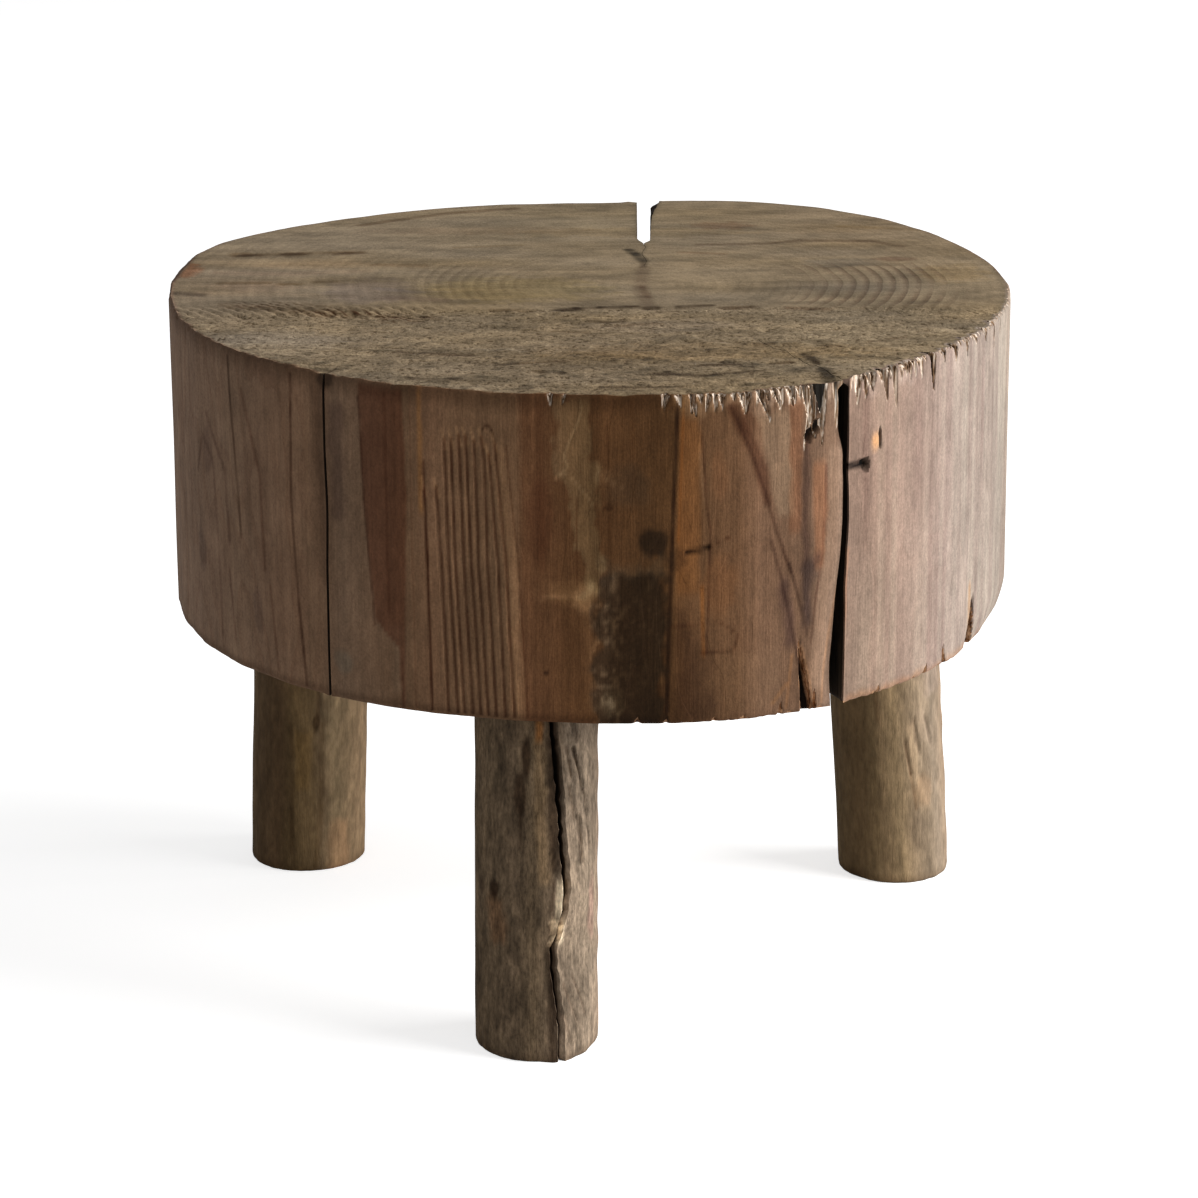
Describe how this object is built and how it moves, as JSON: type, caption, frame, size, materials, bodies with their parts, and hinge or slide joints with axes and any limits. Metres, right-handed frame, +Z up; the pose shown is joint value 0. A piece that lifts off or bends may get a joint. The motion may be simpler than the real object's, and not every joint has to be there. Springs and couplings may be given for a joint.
{
  "type": "wooden stool",
  "caption": "Low rustic stool: a thick round slice of log, end grain up and split by drying checks, on splayed round pole legs that are wedged into blind mortises.",
  "frame": {"origin": "on the floor, under the middle of the seat's extent", "axes": "+Z up, out of the seat's top face; -Y to the front, where the leg with the check stands"},
  "size_m": [0.3022, 0.2986, 0.24],
  "materials": {
    "seat_wood": "weathered, rough sawn",
    "leg_wood": "weathered, peeled",
    "wedge_wood": "split, unfinished"
  },
  "bodies": {
    "root": {"seat_slab": "seat_wood", "leg_front": "leg_wood", "fox_wedge_front": "wedge_wood", "leg_left": "leg_wood", "fox_wedge_left": "wedge_wood", "leg_right": "leg_wood", "fox_wedge_right": "wedge_wood"}
  },
  "joints": []
}
